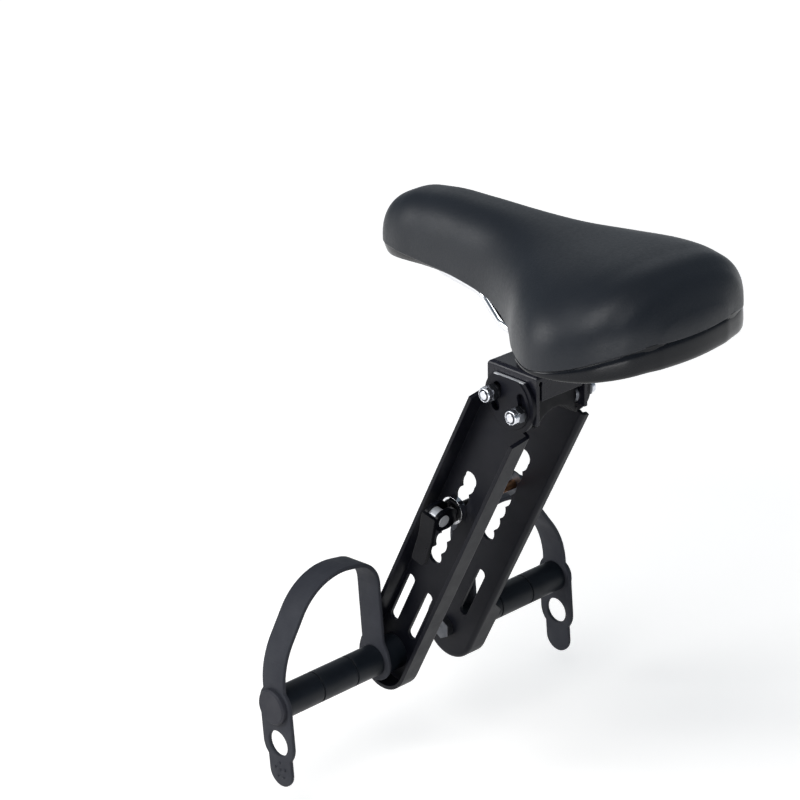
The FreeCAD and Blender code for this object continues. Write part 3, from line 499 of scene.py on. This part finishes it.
def strap_path():
    """Runs and arcs of the strap's middle line: start, direction, length and curvature."""
    corners = [np.array(corner) for corner in STRAP_CORNERS]
    pieces = []
    start = corners[0]
    for before, corner, after, radius in zip(corners, corners[1:], corners[2:], STRAP_RADII):
        back = (before - corner) / np.linalg.norm(before - corner)
        ahead = (after - corner) / np.linalg.norm(after - corner)
        half = math.acos(float(back @ ahead)) / 2
        reach = radius / math.tan(half)
        arc_start = corner + back * reach
        pieces.append((start, -back, np.linalg.norm(arc_start - start), 0.0))
        pieces.append((arc_start, -back, (math.pi - 2 * half) * radius, 1 / radius))
        start = corner + ahead * reach
    pieces.append((start, ahead, np.linalg.norm(corners[-1] - start), 0.0))
    return pieces


def along_path(pieces, distance):
    """Point and direction at a distance along the path; it runs on straight past both ends."""
    for number, (start, way, length, curve) in enumerate(pieces):
        if distance <= length or number == len(pieces) - 1:
            break
        distance -= length
    if curve == 0.0:
        return start + way * distance, way
    inwards = np.array([way[1], -way[0]])
    turn = distance * curve
    point = start + (way * math.sin(turn) + inwards * (1 - math.cos(turn))) / curve
    return point, way * math.cos(turn) + inwards * math.sin(turn)


def strap_half_width(place, length):
    """Half width of the flat pattern at a place along it."""
    def disc(middle, radius):
        return math.sqrt(max(radius**2 - (place - middle) ** 2, 0.0))

    if place <= 0:
        return disc(0, STRAP_END_R)
    if place >= length + TAB_DROP:
        return disc(length + TAB_DROP, TAB_R)
    if place < length / 2:
        ring = disc(0, STRAP_END_R)
        ease = NECK_EASE * min(place / NECK_LENGTH, 1.0)
        wider = ring + STRAP_HALF_WIDTH + math.hypot(ring - STRAP_HALF_WIDTH, ease)
        return wider / 2 - ease / NECK_TRIM
    if place < length:
        return max(STRAP_HALF_WIDTH, disc(length, STRAP_END_R))
    if place < length + SPARE_HOLE_DROP:
        return STRAP_END_R
    return max(TAB_R, disc(length + SPARE_HOLE_DROP, STRAP_END_R))


def circle(y, radius):
    """Round outline on the pattern's middle line."""
    turns = np.linspace(0, 2 * math.pi, HOLE_POINTS, endpoint=False)
    return [(radius * math.cos(turn), y + radius * math.sin(turn)) for turn in turns]


def strap_outlines(length):
    """Outlines of the flat pattern: the rim and the three holes."""
    quarter = np.linspace(0, math.pi / 2, END_POINTS)
    places = np.concatenate([-STRAP_END_R * np.cos(quarter),
                             np.arange(RIM_STEP, length + TAB_DROP, RIM_STEP),
                             length + TAB_DROP + TAB_R * np.sin(quarter)])
    rim = [(strap_half_width(place, length), place) for place in places]
    rim += [(-width, place) for width, place in reversed(rim[1:-1])]
    return [rim, circle(0, RING_HOLE_R), circle(length, BUTTON_HOLE_R),
            circle(length + SPARE_HOLE_DROP, SPARE_HOLE_R)]


def flat_mesh(name, outlines):
    """Flat plate with rounded edges from closed outlines, the first the rim and the rest holes."""
    curve = bpy.data.curves.new(name, "CURVE")
    curve.dimensions = "2D"
    curve.fill_mode = "BOTH"
    curve.extrude = (STRAP_T / 2 - STRAP_ROUND) * MM
    curve.bevel_depth = STRAP_ROUND * MM
    curve.bevel_resolution = ROUND_STEPS
    curve.offset = -STRAP_ROUND * MM
    for outline in outlines:
        spline = curve.splines.new("POLY")
        spline.points.add(len(outline) - 1)
        for point, (x, y) in zip(spline.points, outline):
            point.co = (x * MM, y * MM, 0.0, 1.0)
        spline.use_cyclic_u = True
    holder = bpy.data.objects.new(name, curve)
    mesh = bpy.data.meshes.new_from_object(holder)
    bpy.data.objects.remove(holder)
    bpy.data.curves.remove(curve)
    return mesh


def bent(flat, pieces, side):
    """Place on the bent strap of a point on the flat pattern."""
    across, along, out = flat / MM
    point, way = along_path(pieces, along)
    x, z = point + np.array([-way[1], way[0]]) * out
    lean = math.radians(-STRAP_LEAN)
    return Vector((side * (STRAP_IN + STRAP_T / 2 + x),
                   PEG_CENTRE[0] + across * math.cos(lean) - z * math.sin(lean),
                   PEG_CENTRE[1] + across * math.sin(lean) + z * math.cos(lean))) * MM


def strap(side, name, node):
    """Rubber strap: a flat moulding with dots on its tab, bent over the foot's place."""
    pieces = strap_path()
    length = sum(run for _, _, run, _ in pieces)
    mesh = flat_mesh(name, strap_outlines(length))
    bm = bmesh.new()
    bm.from_mesh(mesh)
    bmesh.ops.remove_doubles(bm, verts=bm.verts, dist=WELD_METRES)
    for place in np.arange(BEND_STEP, length, BEND_STEP):
        geometry = bm.verts[:] + bm.edges[:] + bm.faces[:]
        bmesh.ops.bisect_plane(bm, geom=geometry, plane_co=(0, place * MM, 0), plane_no=(0, 1, 0))
    for across, drop in TAB_DOTS:
        spot = Matrix.Translation((across * MM, (length + drop) * MM, STRAP_T / 2 * MM))
        bmesh.ops.create_uvsphere(bm, u_segments=10, v_segments=6, radius=DOT_R * MM, matrix=spot)
    for vert in bm.verts:
        vert.co = bent(vert.co, pieces, side)
    bmesh.ops.recalc_face_normals(bm, faces=bm.faces)
    bm.to_mesh(mesh)
    bm.free()
    obj = link(name, mesh, "strap_rubber", sharp=40.0)
    stand_for(obj, "arms", "strap_rubber", node)


# Rubber pad

PAD_VOXEL = 0.7
PAD_SMOOTHING = {"factor": 0.5, "iterations": 4}
PAD_RIB_PITCH = 4.0
PAD_RIB_DEPTH = 0.35
PAD_RIB_POWER = 4
PAD_PLAIN = 0.5


def tube_pad():
    """Moulded rubber block: soft edges and shallow grooves across the tube."""
    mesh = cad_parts["tube_pad"].data.copy()
    pad = link("tube_pad_rubber", mesh, "pad_rubber", sharp=60.0)
    for kind, settings in (("REMESH", {"mode": "VOXEL", "voxel_size": PAD_VOXEL * MM}),
                           ("SMOOTH", PAD_SMOOTHING)):
        modifier = pad.modifiers.new(kind, kind)
        for key, value in settings.items():
            setattr(modifier, key, value)
    shape = bpy.data.meshes.new_from_object(pad.evaluated_get(bpy.context.evaluated_depsgraph_get()))
    pad.modifiers.clear()
    pad.data = shape
    bpy.data.meshes.remove(mesh)
    for vert in shape.vertices:
        if abs(vert.normal.y) < PAD_PLAIN:
            wave = 0.5 - 0.5 * math.cos(2 * math.pi * vert.co.y / (PAD_RIB_PITCH * MM))
            vert.co -= vert.normal * (PAD_RIB_DEPTH * MM * wave**PAD_RIB_POWER)
    shape.materials.clear()
    shape.materials.append(MATERIALS["pad_rubber"])
    shape.shade_smooth()
    stand_for(pad, "bracket", "pad_rubber", "tube_pad")


# Lock nuts: distance outwards and radius

NUT_FLATS = 10.0
NUT_HEIGHT = 6.2
NUT_POINTS = 96
NUT_STATIONS = ((0.0, 3.2), (0.0, 4.7), (0.5, 6.0), (3.9, 6.0), (4.6, 4.9), (4.7, 4.0))
COLLAR_PROFILE = ((4.6, 4.75), (7.1, 4.75), (7.7, 4.6), (8.1, 4.25), (8.15, 3.95), (7.95, 3.7),
                  (7.4, 3.65))
INSERT_PROFILE = ((7.3, 3.65), (7.7, 3.6), (7.85, 3.35), (7.8, 3.0), (7.3, 2.9))
TIP_PROFILE = ((7.5, 2.9), (8.3, 2.85), (8.6, 2.4), (8.55, 1.6), (8.5, 0.02))


def bolt_places():
    """Middles of a side's two bolts, forward and up."""
    tilt = math.radians(BOLT_LINE_TILT)
    reach = np.array([BOLT_CIRCLE_R * math.cos(tilt), BOLT_CIRCLE_R * math.sin(tilt)])
    return (np.array(PIVOT) + reach, np.array(PIVOT) - reach)


def lock_nut(start, centre, side):
    """Hexagon with chamfered ends."""
    turns = np.linspace(0, 2 * math.pi, NUT_POINTS, endpoint=False)
    flats = NUT_FLATS / 2 / np.cos((turns + math.pi / 6) % (math.pi / 3) - math.pi / 6)
    rows = []
    for x, most in NUT_STATIONS:
        radii = np.minimum(flats, most)
        rows.append([(side * (start + x), centre[0] + radius * math.cos(turn),
                      centre[1] + radius * math.sin(turn)) for radius, turn in zip(radii, turns)])
    return grid_mesh("nut", rows, caps=False)


def lock_nuts():
    """Hexagons, bright collars with the bolts' tips, and the dark inserts between them."""
    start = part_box("arm_nuts")[1][0] / MM - NUT_HEIGHT
    nuts, ends, inserts = [], [], []
    profiles = ((ends, COLLAR_PROFILE), (ends, TIP_PROFILE), (inserts, INSERT_PROFILE))
    for side in (-1, 1):
        for place in bolt_places():
            nuts.append(lock_nut(start, place, side))
            for pieces, profile in profiles:
                pieces.append(turned("ring", [(start + x, r) for x, r in profile], place, side))
    # The hexagons get the darkened zinc, painted shade; the collars keep the bright zinc
    hexagons = link("lock_nuts", joined("lock_nuts", nuts), "shaded_zinc", sharp=25.0)
    stand_for(hexagons, "bracket", "zinc", "arm_nuts")
    for name, meshes, slot, look in (("nut_collars", ends, "zinc", "zinc"),
                                     ("nut_inserts", inserts, "peg_plastic", "nut_insert")):
        rings = link(name, joined(name, meshes), look, sharp=40.0)
        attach(rings, "bracket")


# Top edges of the arms' heads: bright strips that are a painted glint

HEAD_TOP_RISE = 15.4
HEAD_EDGE_SPAN = (-12.4, 12.4)
HEAD_EDGE_PROFILE = ((22.9, -0.3), (22.9, 0.25), (24.6, 0.25), (24.9, 0.0), (24.9, -0.3))


def head_glint_strips():
    """Bright strip along the level top of each arm's head: a painted glint on that edge."""
    top = PIVOT[1] + HEAD_TOP_RISE
    strips = []
    for side in (-1, 1):
        rows = [[(side * x, PIVOT[0] + place, top + up) for x, up in HEAD_EDGE_PROFILE]
                for place in HEAD_EDGE_SPAN]
        strips.append(grid_mesh("strip", rows))
    edges = link("head_glint_strips", joined("head_glint_strips", strips), "painted_glint_edge", sharp=50.0)
    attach(edges, "arms")


# Face of the quick release's cup: distance outwards and radius

CUP_FACE_X = 27.4
CUP_FACE_PROFILE = ((0.0, 3.3), (0.5, 3.4), (0.7, 3.9), (0.5, 4.4), (0.5, 4.9), (1.0, 5.3), (1.0, 5.7),
                    (0.5, 6.1), (0.5, 6.6), (0.9, 6.9), (0.9, 7.2), (0.0, 7.4))


def cup_face():
    """Ringed plastic face in the cup's dish."""
    profile = [(CUP_FACE_X + x, r) for x, r in CUP_FACE_PROFILE]
    face = link("cup_face", turned("cup_face", profile, ROD_CENTRE, -1), "lever_paint", sharp=50.0)
    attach(face, "clamp_rod")


# Finishes of the nodes that stay in view

NODE_FINISHES = {
    "arm_paint": ("left_arm", "right_arm"),
    "peg_plastic": ("left_peg", "right_peg"),
    "cap_plastic": ("left_peg_cap", "right_peg_cap"),
    "bracket_paint": ("top_bracket",),
    "clamp_steel": ("clamp_base", "clamp_cap"),
    "lever_paint": ("qr_lever",),
    "rail_chrome": ("cup_washer", "saddle_rail"),
    "rod_brass": ("cross_rod",),
    "pan": ("saddle_base",),
    # The drum's pale half-diffuse zinc is a painted reflection
    "painted_reflection_zinc": ("cam_barrel",),
    # The darkened zinc on these fasteners is painted shade
    "shaded_zinc": ("left_peg_bolt", "right_peg_bolt", "arm_bolts", "arm_washers", "clamp_bolt",
                  "clamp_washer", "clamp_nut", "rod_washer", "rod_nut"),
}


def finish_nodes():
    """Gives each node its finish."""
    for look, names in NODE_FINISHES.items():
        for name in names:
            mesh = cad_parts[name].data
            mesh.materials.clear()
            mesh.materials.append(MATERIALS[look])


# Floor: height in millimetres, size and fade in metres

FLOOR_Z = -268.0
FLOOR_SIZE = 30.0
FLOOR_TONES = ((0.86, 0.83, 0.80), (0.88, 0.85, 0.82))
FLOOR_ROUGH = 0.9
FLOOR_SPECULAR = 0.1
FLOOR_GLOW = (0.50, 0.76)
FLOOR_FADE = (0.5, 1.6)
GLOW_COLOUR = (1.0, 1.0, 1.0, 1.0)


def floor_glow(tree):
    """Glow that grows from the part's shadow outwards, where less light falls.

    Only the camera, reflections and clear surfaces see it; it adds no light to matt surfaces.
    """
    coords = tree.nodes.new("ShaderNodeTexCoord")
    distance = tree.nodes.new("ShaderNodeVectorMath")
    distance.operation = "LENGTH"
    tree.links.new(coords.outputs["Object"], distance.inputs[0])
    strength = map_range(tree, distance.outputs["Value"], FLOOR_FADE, FLOOR_GLOW)
    path = tree.nodes.new("ShaderNodeLightPath")
    seen = path.outputs["Is Camera Ray"]
    for ray in ("Is Glossy Ray", "Is Transmission Ray"):
        seen = calculate(tree, "MAXIMUM", seen, path.outputs[ray])
    return calculate(tree, "MULTIPLY", seen, strength)


def stage():
    """Plain floor that looks near white to the camera and in reflections, and keeps a soft shadow."""
    bpy.ops.mesh.primitive_plane_add(size=FLOOR_SIZE, location=(0, 0, FLOOR_Z * MM))
    floor = bpy.context.object
    floor.name = "floor"
    mat, tree, shader = material("floor_white")
    grain = texture(tree, "ShaderNodeTexNoise", scale=3.0, Detail=3.0)
    colour = two_tone(tree, grain.outputs["Fac"], FLOOR_TONES, NOISE_SPAN)
    tree.links.new(colour, shader.inputs["Base Color"])
    tree.links.new(floor_glow(tree), shader.inputs["Emission Strength"])
    shader.inputs["Roughness"].default_value = FLOOR_ROUGH
    shader.inputs["Specular IOR Level"].default_value = FLOOR_SPECULAR
    shader.inputs["Emission Color"].default_value = GLOW_COLOUR
    floor.data.materials.append(mat)


# Lights: place, target and size in metres, power in watts

LIGHTS = {
    "key": dict(place=(-1.05, -0.50, 1.60), target=(0, 0.03, -0.02), size=(1.3, 1.3), power=26.0),
    "side": dict(place=(-1.50, 1.05, 0.62), target=(0, 0, 0.02), size=(0.9, 0.7), power=17.0),
    "back": dict(place=(1.25, 1.35, 0.90), target=(0, 0, 0.05), size=(1.4, 0.9), power=1.7),
    "rear": dict(place=(-0.70, -1.30, -0.10), target=(0, 0.05, -0.12), size=(0.7, 0.25), power=3.2),
}
WORLD_COLOUR = (0.72, 0.86, 1.0, 1.0)
WORLD_STRENGTH = 0.22


def area_light(name, place, target, size, power):
    """Rectangular light that faces its target."""
    data = bpy.data.lights.new(name, "AREA")
    data.shape = "RECTANGLE"
    data.size, data.size_y = size
    data.energy = power
    light = bpy.data.objects.new(name, data)
    light.location = place
    aim = Vector(target) - Vector(place)
    light.rotation_euler = aim.to_track_quat("-Z", "Y").to_euler()
    scene.collection.objects.link(light)


def lights():
    """Soft blue surroundings and the four lights."""
    world = bpy.data.worlds.new("studio")
    scene.world = world
    world.use_nodes = True
    background = world.node_tree.nodes["Background"]
    background.inputs["Color"].default_value = WORLD_COLOUR
    background.inputs["Strength"].default_value = WORLD_STRENGTH
    for name, settings in LIGHTS.items():
        area_light(name, **settings)


def camera():
    """Camera at the photograph's view."""
    data = bpy.data.cameras.new("camera")
    data.lens = CAMERA_LENS
    data.sensor_width = CAMERA_SENSOR
    data.clip_start, data.clip_end = CAMERA_CLIP
    viewer = bpy.data.objects.new("camera", data)
    angles = (CAMERA_AZIMUTH, CAMERA_ELEVATION, CAMERA_ROLL)
    azimuth, elevation, roll = (math.radians(angle) for angle in angles)
    back = Vector((math.sin(azimuth) * math.cos(elevation), -math.cos(azimuth) * math.cos(elevation),
                   math.sin(elevation)))
    level = Vector((math.cos(azimuth), math.sin(azimuth), 0.0))
    upright = back.cross(level)
    right = level * math.cos(roll) + upright * math.sin(roll)
    up = upright * math.cos(roll) - level * math.sin(roll)
    viewer.matrix_world = Matrix((right, up, back)).transposed().to_4x4()
    viewer.location = CAMERA_PLACE
    scene.collection.objects.link(viewer)
    scene.camera = viewer


camera()
lights()
stage()
saddle_cover()
pan_skirt()
strap(-1, "left_strap_rubber", "left_strap")
strap(1, "right_strap_rubber", "right_strap")
tube_pad()
lock_nuts()
head_glint_strips()
cup_face()
finish_nodes()

scene.view_settings.view_transform = "Standard"
